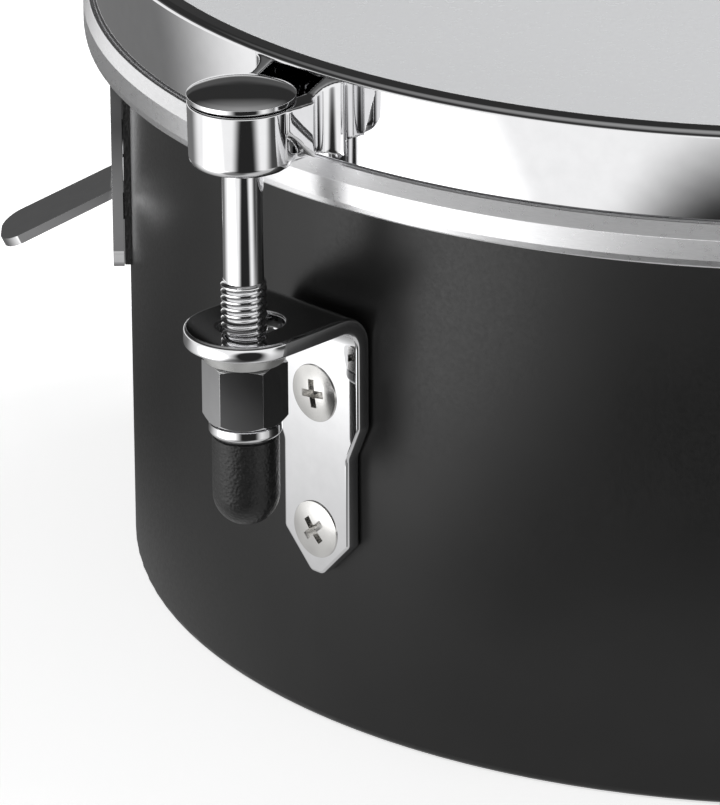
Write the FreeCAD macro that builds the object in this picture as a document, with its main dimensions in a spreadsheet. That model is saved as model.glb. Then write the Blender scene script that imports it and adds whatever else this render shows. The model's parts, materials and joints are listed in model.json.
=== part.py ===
import FreeCAD, Part
import os
import re
import Sketcher

# Ten inch steel tom. The drum axis is Z, and the origin lies on it at the shell's bottom edge.
# The damper faces -X, the rod mount faces +X, and the four tension lugs stand on the diagonals.
# Lug parts are drawn with X pointing outwards through the lug, then turned to their own angle.

SIZES = {
    # shell, rolled inwards at both edges
    "shell_radius": 125.0,
    "shell_wall": 1.2,
    "shell_height": 121.7,
    "shell_lip": 3.6,
    "shell_corner": 1.6,
    # drumhead: flat film, its collar and hem, and the flesh hoop that grips it
    "film_top": 122.3,
    "film_skin": 0.3,
    "film_flat": 120.0,
    "film_radius": 126.2,
    "film_corner": 2.2,
    "hem_height": 107.0,
    "hem_radius": 128.0,
    "hoop_inner": 126.3,
    "hoop_outer": 132.8,
    "hoop_base": 103.2,
    "hem_groove_radius": 128.4,
    # counter hoop, which sits on the flesh hoop
    "rim_inner": 127.4,
    "rim_outer": 131.2,
    "rim_base": 111.2,
    "rim_top": 127.0,
    "rim_corner": 0.9,
    # lug circle
    "lug_count": 4,
    "lug_angle": 45,
    "bolt_circle": 145.0,
    # ears on the rim
    "ear_half_width": 11.2,
    "ear_base_low": 112.3,
    "ear_base_high": 126.6,
    "ear_neck": 137.6,
    "ear_neck_low": 113.8,
    "ear_wall_end": 146.5,
    "ear_wall_end_low": 121.6,
    "ear_wall_end_half": 9.2,
    "ear_neck_half": 10.3,
    "ear_web_half": 6.6,
    "ear_pocket_half": 6.2,
    "ear_pocket_end": 139.0,
    "ear_pocket_floor": 115.0,
    "flute_radius": 3.5,
    "flute_place": 134.4,
    "flute_offset": 11.4,
    "barrel_radius": 9.4,
    "barrel_low": 112.4,
    "barrel_high": 123.8,
    "barrel_corner": 2.0,
    "barrel_bore": 4.2,
    # tension bolts, thread of 1.25 mm pitch
    "bolt_head_radius": 9.45,
    "bolt_head_low": 124.1,
    "bolt_head_edge": 125.2,
    "bolt_head_top": 126.5,
    "bolt_shank": 3.55,
    "bolt_thread": 4.0,
    "thread_start": 91.5,
    "bolt_end": 56.0,
    "bolt_point": 1.0,
    # nuts and rubber caps
    "nut_flats": 13.0,
    "nut_low": 64.8,
    "nut_high": 76.4,
    "nut_chamfer": 0.6,
    "nut_bore": 4.05,
    "collar_low": 62.5,
    "collar_radius": 6.45,
    "nut_turn": 10.0,
    "cap_radius": 5.9,
    "cap_ball_height": 51.5,
    "cap_bore": 4.35,
    "cap_floor": 52.5,
    "washer_radius": 7.9,
    "washer_bore": 4.4,
    "washer_low": 76.6,
    # brackets bent from sheet
    "sheet": 3.0,
    "bracket_top": 82.5,
    "bracket_half": 10.6,
    "bracket_bend": 6.4,
    "bracket_bend_inner": 3.4,
    "bracket_leg_half": 7.9,
    "bracket_shoulder_high": 60.4,
    "bracket_shoulder_low": 54.2,
    "bracket_point_high": 37.3,
    "bracket_point_low": 30.4,
    "bracket_point_half": 1.4,
    "slot_half": 4.7,
    "slot_inner": 141.9,
    # screws through the shell
    "screw_low": 38.9,
    "screw_pitch": 26.0,
    "screw_radius": 2.5,
    "screw_hole": 2.65,
    "screw_head": 5.35,
    "screw_head_rise": 1.3,
    "screw_head_edge": 0.5,
    "screw_end": 117.6,
    "recess_half": 2.4,
    "recess_wing": 0.55,
    "recess_depth": 1.1,
    "flat_washer_radius": 5.0,
    "flat_washer": 1.0,
    "flat_washer_seat": 123.6,
    "screw_nut_flats": 8.0,
    "screw_nut": 4.0,
    # damper
    "damper_angle": 180,
    "plate_half": 11.0,
    "plate_low": 58.0,
    "plate_high": 98.0,
    "plate_outer": 127.9,
    "plate_thickness": 2.0,
    "plate_corner": 3.0,
    "land_height": 11.0,
    "window_half": 7.9,
    "window_low": 67.6,
    "window_high": 80.6,
    "damper_screw_low": 61.8,
    "damper_screw_high": 93.6,
    "damper_screw_radius": 2.0,
    "damper_screw_head": 3.8,
    "damper_screw_end": 116.5,
    "damper_nut_flats": 7.0,
    "damper_nut": 3.2,
    "pivot_out": 118.6,
    "pivot_up": 76.4,
    "pivot_radius": 2.0,
    "pivot_head": 3.2,
    "cheek_half": 9.4,
    "cheek_sheet": 1.5,
    "cheek_end": 113.4,
    "cheek_low": 69.4,
    "cheek_high": 86.0,
    "frame_face": 121.6,
    "hub_radius": 4.4,
    "hub_half": 7.4,
    "hub_bore": 2.05,
    "lever_sheet": 2.6,
    "lever_root_half": 7.0,
    "lever_tip_half": 5.4,
    "lever_length": 32.6,
    "lever_slope": 26.0,
    "lever_corner": 4.2,
    "tab_end": 106.6,
    "tab_low": 78.4,
    "arm_half": 5.5,
    "arm_sheet": 1.4,
    "arm_out": 106.2,
    "arm_knee": 103.0,
    "arm_reach": 78.0,
    "arm_top": 112.0,
    "pad_inner": 76.0,
    "pad_outer": 108.0,
    "pad_half": 12.0,
    "pad_top": 121.7,
    "rivet_radius": 1.6,
    "rivet_head": 2.8,
    # rod mount
    "mount_half": 17.5,
    "mount_low": 43.0,
    "mount_high": 95.0,
    "mount_base": 129.0,
    "mount_corner": 6.0,
    "boss_half": 11.0,
    "boss_low": 56.5,
    "boss_high": 81.5,
    "rod_place": 138.8,
    "rod_bore": 4.85,
    "neck_radius": 7.0,
    "neck_end": 19.0,
    "clamp_height": 69.0,
    "shoe_radius": 3.7,
    "shoe_channel": 3.85,
    "shoe_face": 5.1,
    "shoe_length": 3.0,
    "shoe_channel_end": 12.2,
    "clamp_thread": 3.0,
    "clamp_bore": 3.05,
    "clamp_head_start": 23.4,
    "clamp_hub": 5.0,
    "clamp_hub_length": 7.0,
    "wing_reach": 15.0,
    "wing_half": 1.8,
    "wing_tip": 32.0,
    "mount_screw_low": 50.0,
    "mount_screw_pitch": 38.0,
    "mount_screw_turn": 4.8,
}

doc = FreeCAD.newDocument("tom")
sheet = doc.addObject("Spreadsheet::Sheet", "Params")
for row, (name, size) in enumerate(SIZES.items(), 1):
    sheet.set(f"A{row}", name)
    sheet.set(f"B{row}", str(size))
    sheet.setAlias(f"B{row}", name)
doc.recompute()

X_AXIS = FreeCAD.Vector(1, 0, 0)
Y_AXIS = FreeCAD.Vector(0, 1, 0)
Z_AXIS = FreeCAD.Vector(0, 0, 1)
WORD = re.compile(r"\b(" + "|".join(SIZES) + r")\b")
LONG_CUT = "400"
LEVER_TIP = "pivot_out + lever_length * cos(lever_slope) + lever_sheet / 2 * sin(lever_slope)"
BOSS_END = LEVER_TIP
ARM_START = "pivot_up + hub_radius"
TAB_RIVET = "tab_end + 4.6"
PAD_RIVETS = ("arm_reach + 5", "arm_knee - 4")


def value(text):
    """What a formula of sheet names comes to."""
    return float(sheet.evalExpression(text))


def bind(item, prop, text):
    """Ties a property to a formula of sheet names."""
    item.setExpression(prop, WORD.sub(r"Params.\1", text))


def origin_part(body, role):
    return next(item for item in body.Origin.OriginFeatures if item.Role == role)


def new_body(label, turn="0", out="0"):
    """A body turned about the drum axis, with its own origin pushed out along its X."""
    body = doc.addObject("PartDesign::Body", label)
    body.Label = label
    place_at(body, turn, out)
    return body


def place_at(item, turn, out="0", spin="0"):
    item.Placement = FreeCAD.Placement(
        FreeCAD.Vector(0, 0, 0), FreeCAD.Rotation(Z_AXIS, value(f"({turn}) + ({spin})"))
    )
    bind(item, "Placement.Base.x", f"({out}) * cos({turn})")
    bind(item, "Placement.Base.y", f"({out}) * sin({turn})")
    bind(item, "Placement.Rotation.Angle", f"({turn}) + ({spin})")


def new_sketch(body, role, lift="0", turn="0", shift="0"):
    """A sketch on an origin plane, moved along its normal or its X, or turned about the drum axis."""
    sketch = body.newObject("Sketcher::SketchObject", f"{body.Label}_sketch")
    sketch.AttachmentSupport = [(origin_part(body, role), "")]
    sketch.MapMode = "FlatFace"
    across = f"{shift} + ({lift}) * sin({turn})"
    along = f"({lift}) * cos({turn})"
    sketch.AttachmentOffset = FreeCAD.Placement(
        FreeCAD.Vector(value(across), 0, value(along)), FreeCAD.Rotation(Y_AXIS, value(turn))
    )
    bind(sketch, "AttachmentOffset.Base.x", across)
    bind(sketch, "AttachmentOffset.Base.z", along)
    return sketch


def draw_polygon(sketch, corners):
    """Closed outline whose corners are pairs of formulas."""
    spots = [FreeCAD.Vector(value(x), value(y), 0) for x, y in corners]
    lines = []
    for here, there in zip(spots, spots[1:] + spots[:1]):
        lines.append(sketch.addGeometry(Part.LineSegment(here, there), False))
    for line, following in zip(lines, lines[1:] + lines[:1]):
        sketch.addConstraint(Sketcher.Constraint("Coincident", line, 2, following, 1))
    for line, spot, corner in zip(lines, spots, corners):
        for kind, distance, text in (("DistanceX", spot.x, corner[0]), ("DistanceY", spot.y, corner[1])):
            number = sketch.addConstraint(Sketcher.Constraint(kind, -1, 1, line, 1, distance))
            bind(sketch, f"Constraints[{number}]", text)


def draw_circle(sketch, x, y, radius):
    centre = FreeCAD.Vector(value(x), value(y), 0)
    circle = sketch.addGeometry(Part.Circle(centre, Z_AXIS, value(radius)), False)
    for kind, distance, text in (("DistanceX", centre.x, x), ("DistanceY", centre.y, y)):
        number = sketch.addConstraint(Sketcher.Constraint(kind, -1, 1, circle, 3, distance))
        bind(sketch, f"Constraints[{number}]", text)
    number = sketch.addConstraint(Sketcher.Constraint("Radius", circle, value(radius)))
    bind(sketch, f"Constraints[{number}]", radius)


def polygon_on(body, role, corners, lift="0", turn="0"):
    sketch = new_sketch(body, role, lift, turn)
    draw_polygon(sketch, corners)
    return sketch


def circle_on(body, role, x, y, radius, lift="0", turn="0"):
    sketch = new_sketch(body, role, lift, turn)
    draw_circle(sketch, x, y, radius)
    return sketch


def add_feature(body, kind, sketch):
    feature = body.newObject(f"PartDesign::{kind}", f"{body.Label}_{kind}")
    feature.Profile = sketch
    return feature


def pad(body, sketch, length, both_ways=False):
    feature = add_feature(body, "Pad", sketch)
    if both_ways:
        feature.SideType = "Symmetric"
    bind(feature, "Length", length)
    doc.recompute()
    return feature


def cut(body, sketch, length=LONG_CUT, along_normal=False, both_ways=False):
    """Pocket against the sketch's normal, or along it, that must take some metal away."""
    before = body.Shape.Volume
    feature = add_feature(body, "Pocket", sketch)
    if both_ways:
        feature.SideType = "Symmetric"
    feature.Reversed = along_normal
    bind(feature, "Length", length)
    doc.recompute()
    if body.Shape.Volume > before - 1e-3:
        raise RuntimeError(f"a cut in {body.Label} removes nothing")
    return feature


def spin_solid(body, sketch, kind="Revolution"):
    """Full turn of a profile about its sketch's vertical axis."""
    feature = add_feature(body, kind, sketch)
    feature.ReferenceAxis = (sketch, ["V_Axis"])
    feature.Angle = 360
    doc.recompute()
    return feature


def repeat_round(body, features, count="lug_count"):
    """Copies features round the drum axis."""
    pattern = body.newObject("PartDesign::PolarPattern", f"{body.Label}_pattern")
    pattern.Originals = features
    pattern.Axis = (origin_part(body, "Z_Axis"), [""])
    pattern.Angle = 360
    bind(pattern, "Occurrences", count)
    body.Tip = pattern
    doc.recompute()
    return pattern


def round_edges(body, radius, chosen):
    """Fillets each edge of the body for which chosen(edge) is true."""
    names = [
        f"Edge{number}"
        for number, edge in enumerate(body.Shape.copy().Edges, 1)
        if chosen(local_edge(body, edge))
    ]
    if not names:
        raise RuntimeError(f"no edge to round in {body.Label}")
    feature = body.newObject("PartDesign::Fillet", f"{body.Label}_fillet")
    feature.Base = (body.Tip if body.Tip != feature else feature.BaseFeature, names)
    bind(feature, "Radius", radius)
    doc.recompute()
    return feature


def local_edge(body, edge):
    """The edge in the body's own frame."""
    moved = edge.copy()
    moved.Placement = body.Placement.inverse().multiply(edge.Placement)
    return moved


def ring_at(radius, height):
    """Tests for a circular edge about the body's own Z."""

    def chosen(edge):
        curve = edge.Curve
        if not hasattr(curve, "Radius"):
            return False
        middle = curve.Center
        on_axis = abs(middle.x) < 1e-3 and abs(middle.y) < 1e-3
        return on_axis and abs(curve.Radius - value(radius)) < 1e-3 and abs(middle.z - value(height)) < 1e-3

    return chosen


def box_of(x_low, x_high, y_low, y_high):
    """Corners of an upright rectangle."""
    return [(x_low, y_low), (x_high, y_low), (x_high, y_high), (x_low, y_high)]


def hexagon(flats, middle_x="0", middle_y="0"):
    """Corners of a hexagon with two corners on its own X."""
    corner = f"({flats}) / 2 / cos(30)"
    return [
        (f"{middle_x} + {corner} * cos({60 * step})", f"{middle_y} + {corner} * sin({60 * step})")
        for step in range(6)
    ]


def make_shell():
    body = new_body("shell")
    inner = "shell_radius - shell_wall"
    lip = "shell_radius - shell_lip"
    wall = polygon_on(body, "XZ_Plane", [
        ("shell_radius", "0"),
        ("shell_radius", "shell_height"),
        (lip, "shell_height"),
        (lip, "shell_height - shell_wall"),
        (inner, "shell_height - shell_wall"),
        (inner, "shell_wall"),
        (lip, "shell_wall"),
        (lip, "0"),
    ])
    spin_solid(body, wall)
    round_edges(body, "shell_corner", ring_at("shell_radius", "0"))
    round_edges(body, "shell_corner", ring_at("shell_radius", "shell_height"))
    holes = new_sketch(body, "YZ_Plane", turn="lug_angle")
    draw_circle(holes, "0", "screw_low", "screw_hole")
    draw_circle(holes, "0", "screw_low + screw_pitch", "screw_hole")
    lug_holes = cut(body, holes, along_normal=True)
    repeat_round(body, [lug_holes])
    window = polygon_on(
        body, "YZ_Plane",
        box_of("-window_half", "window_half", "window_low", "window_high"),
        turn="damper_angle",
    )
    cut(body, window, along_normal=True)
    damper_holes = new_sketch(body, "YZ_Plane", turn="damper_angle")
    draw_circle(damper_holes, "0", "damper_screw_low", "damper_screw_radius + 0.15")
    draw_circle(damper_holes, "0", "damper_screw_high", "damper_screw_radius + 0.15")
    cut(body, damper_holes, along_normal=True)
    for side in ("-", ""):
        mount_holes = new_sketch(body, "YZ_Plane", turn=f"{side}mount_screw_turn")
        draw_circle(mount_holes, "0", "mount_screw_low", "screw_hole")
        draw_circle(mount_holes, "0", "mount_screw_low + mount_screw_pitch", "screw_hole")
        cut(body, mount_holes, along_normal=True)


def make_rim():
    body = new_body("rim")
    spin_solid(body, polygon_on(body, "XZ_Plane", box_of("rim_inner", "rim_outer", "rim_base", "rim_top")))
    round_edges(body, "rim_corner", ring_at("rim_outer", "rim_top"))
    round_edges(body, "rim_corner / 3", ring_at("rim_inner", "rim_top"))


def make_flesh_hoop():
    body = new_body("flesh_hoop")
    groove_low = "hem_height - 0.3"
    groove_high = "hem_height + film_skin + 0.3"
    spin_solid(body, polygon_on(body, "XZ_Plane", [
        ("hoop_inner", "hoop_base"),
        ("hoop_outer", "hoop_base"),
        ("hoop_outer", "rim_base"),
        ("hoop_inner", "rim_base"),
        ("hoop_inner", groove_high),
        ("hem_groove_radius", groove_high),
        ("hem_groove_radius", groove_low),
        ("hoop_inner", groove_low),
    ]))
    round_edges(body, "rim_corner / 2", ring_at("hoop_outer", "hoop_base"))
    round_edges(body, "rim_corner / 2", ring_at("hoop_outer", "rim_base"))


def make_head_film():
    """The flat playing surface."""
    body = new_body("head_film")
    pad(body, circle_on(body, "XY_Plane", "0", "0", "film_flat", lift="film_top - film_skin"), "film_skin")


def make_head_collar():
    """The film's rounded collar, down to the hem that sits in the flesh hoop's groove."""
    body = new_body("head_collar")
    inner = "film_radius - film_skin"
    spin_solid(body, polygon_on(body, "XZ_Plane", [
        ("film_flat", "film_top"),
        ("film_radius", "film_top"),
        ("film_radius", "hem_height + film_skin"),
        ("hem_radius", "hem_height + film_skin"),
        ("hem_radius", "hem_height"),
        (inner, "hem_height"),
        (inner, "film_top - film_skin"),
        ("film_flat", "film_top - film_skin"),
    ]))
    round_edges(body, "film_corner", ring_at("film_radius", "film_top"))
    round_edges(body, "film_corner - film_skin", ring_at(inner, "film_top - film_skin"))


def make_ear(label, turn):
    """Cast ear: two tapering side walls with an open pocket, a web under them, and the bolt's barrel."""
    body = new_body(label, turn)
    root = "rim_outer - 1.2"
    side = polygon_on(body, "XZ_Plane", [
        (root, "ear_base_low"),
        ("ear_neck", "ear_neck_low"),
        ("(ear_neck + ear_wall_end) / 2", "(ear_neck_low + ear_wall_end_low) / 2 + 0.8"),
        ("ear_wall_end", "ear_wall_end_low"),
        ("ear_wall_end", "barrel_high"),
        ("bolt_circle - barrel_radius", "barrel_high + 0.3"),
        (root, "ear_base_high"),
    ])
    pad(body, side, "2 * ear_half_width", both_ways=True)
    for sign in ("", "-"):
        outside = polygon_on(body, "XY_Plane", [
            ("ear_neck", f"{sign}ear_neck_half"),
            ("ear_wall_end + 1", f"{sign}ear_wall_end_half"),
            ("ear_wall_end + 1", f"{sign}(ear_half_width + 1)"),
            ("ear_neck", f"{sign}(ear_half_width + 1)"),
        ])
        cut(body, outside, along_normal=True)
        flute = circle_on(body, "XY_Plane", "flute_place", f"{sign}flute_offset", "flute_radius")
        cut(body, flute, along_normal=True)
    pocket = polygon_on(
        body, "XY_Plane",
        box_of("rim_outer - 2", "ear_wall_end + 1", "-ear_pocket_half", "ear_pocket_half"),
        lift="ear_pocket_floor",
    )
    cut(body, pocket, along_normal=True)
    web = polygon_on(body, "XZ_Plane", [
        (root, "ear_base_low + 0.4"),
        ("ear_neck", "barrel_low + 0.2"),
        ("bolt_circle", "barrel_low + 0.2"),
        ("bolt_circle", "barrel_high - 1.5"),
        ("ear_pocket_end - 1", "barrel_high - 3"),
        ("ear_neck - 2", "ear_pocket_floor"),
        (root, "ear_pocket_floor"),
    ])
    pad(body, web, "2 * ear_web_half", both_ways=True)
    barrel = new_sketch(body, "XZ_Plane", shift="bolt_circle")
    draw_polygon(barrel, [
        ("0", "barrel_low"),
        ("barrel_radius - barrel_corner", "barrel_low"),
        ("barrel_radius - barrel_corner * 0.3", "barrel_low + barrel_corner * 0.3"),
        ("barrel_radius", "barrel_low + barrel_corner"),
        ("barrel_radius", "barrel_high"),
        ("0", "barrel_high"),
    ])
    spin_solid(body, barrel)
    cut(body, circle_on(body, "XY_Plane", "bolt_circle", "0", "barrel_bore"), along_normal=True)
    seat = polygon_on(body, "XZ_Plane", box_of("0", "rim_outer", "rim_base - 5", "rim_top + 5"))
    spin_solid(body, seat, "Groove")


def make_tension_bolt(label, turn):
    body = new_body(label, turn, "bolt_circle")
    spin_solid(body, polygon_on(body, "XZ_Plane", [
        ("0", "bolt_head_top"),
        ("bolt_head_radius * 0.55", "bolt_head_edge + (bolt_head_top - bolt_head_edge) * 0.78"),
        ("bolt_head_radius", "bolt_head_edge"),
        ("bolt_head_radius", "bolt_head_low"),
        ("bolt_shank", "bolt_head_low"),
        ("bolt_shank", "thread_start + bolt_thread - bolt_shank"),
        ("bolt_thread", "thread_start"),
        ("bolt_thread", "bolt_end + bolt_point"),
        ("bolt_thread - bolt_point", "bolt_end"),
        ("0", "bolt_end"),
    ]))


def make_tension_nut(label, turn):
    """Hexagon with a round collar under it, both chamfered, bored for the thread."""
    body = doc.addObject("PartDesign::Body", label)
    body.Label = label
    place_at(body, turn, "bolt_circle", "nut_turn")
    pad(body, polygon_on(body, "XY_Plane", hexagon("nut_flats"), lift="nut_low"), "nut_high - nut_low")
    corner = "nut_flats / 2 / cos(30)"
    flat = "nut_flats / 2 + 0.1"
    for height, inwards in (("nut_high", "-"), ("nut_low", "+")):
        chamfer = polygon_on(body, "XZ_Plane", [
            (flat, height),
            (f"{corner} + 0.2", height),
            (f"{corner} + 0.2", f"{height} {inwards} nut_chamfer"),
        ])
        spin_solid(body, chamfer, "Groove")
    pad(body, circle_on(body, "XY_Plane", "0", "0", "collar_radius", lift="collar_low"),
        "nut_low - collar_low")
    cut(body, circle_on(body, "XY_Plane", "0", "0", "nut_bore"), along_normal=True)


def make_nut_cap(label, turn):
    """Rubber cap with a round end, hollow for the end of the bolt."""
    barrel = doc.addObject("Part::Cylinder", f"{label}_barrel")
    bind(barrel, "Radius", "cap_radius")
    bind(barrel, "Height", "collar_low - cap_ball_height")
    bind(barrel, "Placement.Base.z", "cap_ball_height")
    ball = doc.addObject("Part::Sphere", f"{label}_ball")
    bind(ball, "Radius", "cap_radius")
    bind(ball, "Placement.Base.z", "cap_ball_height")
    whole = doc.addObject("Part::Fuse", f"{label}_whole")
    whole.Base = barrel
    whole.Tool = ball
    hollow = doc.addObject("Part::Cylinder", f"{label}_hollow")
    bind(hollow, "Radius", "cap_bore")
    bind(hollow, "Height", "collar_low - cap_floor + 1")
    bind(hollow, "Placement.Base.z", "cap_floor")
    cap = doc.addObject("Part::Cut", label)
    cap.Label = label
    cap.Base = whole
    cap.Tool = hollow
    place_at(cap, turn, "bolt_circle")


def make_thrust_washers():
    body = new_body("thrust_washers", "lug_angle")
    ring = new_sketch(body, "XY_Plane", lift="washer_low")
    draw_circle(ring, "bolt_circle", "0", "washer_radius")
    draw_circle(ring, "bolt_circle", "0", "washer_bore")
    first = pad(body, ring, "bracket_top - sheet - washer_low")
    repeat_round(body, [first])


def make_lug_bracket(label, turn):
    """Sheet angle: a shelf with a round nose and a slot, and a leg that ends in a blunt point."""
    body = new_body(label, turn)
    shelf_low = "bracket_top - sheet"
    leg_face = "shell_radius + sheet"
    angle = polygon_on(body, "XZ_Plane", [
        ("shell_radius", "bracket_point_low"),
        (leg_face, "bracket_point_low"),
        (leg_face, shelf_low),
        ("bolt_circle", shelf_low),
        ("bolt_circle", "bracket_top"),
        ("shell_radius", "bracket_top"),
    ])
    pad(body, angle, "2 * bracket_half", both_ways=True)
    pad(body, circle_on(body, "XY_Plane", "bolt_circle", "0", "bracket_half", lift=shelf_low), "sheet")
    outside = [
        ("bracket_half + 1", "bracket_shoulder_high"),
        ("bracket_half", "bracket_shoulder_high"),
        ("bracket_leg_half", "bracket_shoulder_low"),
        ("bracket_leg_half", "bracket_point_high"),
        ("bracket_point_half", "bracket_point_low"),
    ]
    mirrored = [(f"-({x})", z) for x, z in reversed(outside)]
    below = [("-bracket_half - 1", "bracket_point_low - 1"), ("bracket_half + 1", "bracket_point_low - 1")]
    cut(body, polygon_on(body, "YZ_Plane", outside + mirrored + below), along_normal=True)
    round_edges(body, "bracket_bend", straight_at("shell_radius", "bracket_top"))
    round_edges(body, "bracket_bend_inner", straight_at(leg_face, shelf_low))
    for end in ("slot_inner", "bolt_circle"):
        cut(body, circle_on(body, "XY_Plane", end, "0", "slot_half", lift=f"{shelf_low} - 1"),
            "sheet + 2", along_normal=True)
    middle = box_of("slot_inner", "bolt_circle", "-slot_half + 0.001", "slot_half - 0.001")
    cut(body, polygon_on(body, "XY_Plane", middle, lift=f"{shelf_low} - 1"), "sheet + 2", along_normal=True)
    holes = new_sketch(body, "YZ_Plane")
    draw_circle(holes, "0", "screw_low", "screw_hole")
    draw_circle(holes, "0", "screw_low + screw_pitch", "screw_hole")
    cut(body, holes, along_normal=True)


def straight_at(x, z):
    """Tests for a straight edge along the body's own Y."""

    def chosen(edge):
        box = edge.BoundBox
        flat = box.XLength < 1e-3 and box.ZLength < 1e-3
        return flat and abs(box.XMin - value(x)) < 1e-3 and abs(box.ZMin - value(z)) < 1e-3

    return chosen


def add_screw(body, seat, end, height, turn="0", side="0"):
    """Low domed screw along X with a cross recess, whose head sits at the seat."""
    head_sketch = circle_on(body, "YZ_Plane", side, height, "screw_head", lift=seat, turn=turn)
    head = pad(body, head_sketch, "screw_head_edge")
    crown_low = f"{seat} + screw_head_edge"
    crown = pad(
        body,
        circle_on(body, "YZ_Plane", side, height, "screw_head * 0.72", lift=crown_low, turn=turn),
        "screw_head_rise - screw_head_edge",
    )
    shank = pad(
        body,
        circle_on(body, "YZ_Plane", side, height, "screw_radius", lift=end, turn=turn),
        f"{seat} - ({end})",
    )
    features = [head, crown, shank]
    for wide, tall in (("recess_half", "recess_wing"), ("recess_wing", "recess_half")):
        cross = polygon_on(
            body, "YZ_Plane",
            box_of(f"{side} - {wide}", f"{side} + {wide}", f"{height} - {tall}", f"{height} + {tall}"),
            lift=f"{seat} + screw_head_rise", turn=turn,
        )
        features.append(cut(body, cross, "recess_depth"))
    return features


def make_bracket_screws():
    body = new_body("bracket_screws", "lug_angle")
    features = []
    for height in ("screw_low", "screw_low + screw_pitch"):
        features += add_screw(body, "shell_radius + sheet", "screw_end", height)
    repeat_round(body, features)


def make_bracket_washers():
    body = new_body("bracket_washers", "lug_angle")
    features = []
    for height in ("screw_low", "screw_low + screw_pitch"):
        ring = new_sketch(body, "YZ_Plane", lift="flat_washer_seat - flat_washer")
        draw_circle(ring, "0", height, "flat_washer_radius")
        draw_circle(ring, "0", height, "screw_hole")
        features.append(pad(body, ring, "flat_washer"))
    repeat_round(body, features)


def make_bracket_nuts():
    body = new_body("bracket_nuts", "lug_angle")
    features = []
    nut_end = "flat_washer_seat - flat_washer - screw_nut"
    for height in ("screw_low", "screw_low + screw_pitch"):
        ring = new_sketch(body, "YZ_Plane", lift=nut_end)
        draw_polygon(ring, hexagon("screw_nut_flats", "0", height))
        draw_circle(ring, "0", height, "screw_radius")
        features.append(pad(body, ring, "screw_nut"))
    repeat_round(body, features)


def make_damper_plate():
    """Flat outer plate on two lands that follow the shell, with a window for the lever."""
    body = new_body("damper_plate", "damper_angle")
    face = polygon_on(
        body, "YZ_Plane", box_of("-plate_half", "plate_half", "plate_low", "plate_high"),
        lift="plate_outer - plate_thickness",
    )
    pad(body, face, "plate_thickness")
    round_edges(body, "plate_corner", plate_corner)
    for low in ("plate_low + 0.6", "plate_high - land_height - 0.6"):
        land = polygon_on(
            body, "YZ_Plane",
            box_of("-plate_half + 2", "plate_half - 2", low, f"{low} + land_height - 3"),
            lift="shell_radius - 1.5",
        )
        pad(body, land, "plate_outer - plate_thickness - shell_radius + 1.5")
    seat = polygon_on(body, "XZ_Plane", box_of("0", "shell_radius", "plate_low - 5", "plate_high + 5"))
    spin_solid(body, seat, "Groove")
    window = polygon_on(
        body, "YZ_Plane", box_of("-window_half", "window_half", "window_low", "window_high"),
    )
    cut(body, window, along_normal=True)
    for height in ("damper_screw_low", "damper_screw_high"):
        cut(body, circle_on(body, "YZ_Plane", "0", height, "damper_screw_radius + 0.15"), along_normal=True)
        countersink(body, height)


def plate_corner(edge):
    box = edge.BoundBox
    along_x = box.YLength < 1e-3 and box.ZLength < 1e-3
    at_side = abs(abs(box.YMin) - value("plate_half")) < 1e-3
    at_end = min(abs(box.ZMin - value("plate_low")), abs(box.ZMin - value("plate_high"))) < 1e-3
    return along_x and at_side and at_end


def countersink(body, height):
    """Conical seat for a flat head, cut as a loft of two circles."""
    wide = circle_on(body, "YZ_Plane", "0", height, "damper_screw_head", lift="plate_outer")
    narrow = circle_on(
        body, "YZ_Plane", "0", height, "damper_screw_radius + 0.15",
        lift="plate_outer - damper_screw_head + damper_screw_radius",
    )
    loft = body.newObject("PartDesign::SubtractiveLoft", f"{body.Label}_countersink")
    loft.Profile = wide
    loft.Sections = [narrow]
    doc.recompute()


def make_damper_screws():
    """Two flat headed screws that hold the outer plate and the inner frame to the shell."""
    body = new_body("damper_screws", "damper_angle")
    for height in ("damper_screw_low", "damper_screw_high"):
        wide = circle_on(body, "YZ_Plane", "0", height, "damper_screw_head - 0.1", lift="plate_outer - 0.1")
        narrow = circle_on(
            body, "YZ_Plane", "0", height, "damper_screw_radius",
            lift="plate_outer - damper_screw_head + damper_screw_radius",
        )
        loft = body.newObject("PartDesign::AdditiveLoft", f"{body.Label}_head")
        loft.Profile = wide
        loft.Sections = [narrow]
        doc.recompute()
        shank = circle_on(body, "YZ_Plane", "0", height, "damper_screw_radius", lift="damper_screw_end")
        pad(body, shank, "plate_outer - damper_screw_head + damper_screw_radius - damper_screw_end + 0.01")
        for wide_half, tall_half in (("1.7", "0.4"), ("0.4", "1.7")):
            cross = polygon_on(
                body, "YZ_Plane",
                box_of(f"-{wide_half}", wide_half, f"{height} - {tall_half}", f"{height} + {tall_half}"),
                lift="plate_outer - 0.1",
            )
            cut(body, cross, "recess_depth")


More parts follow.
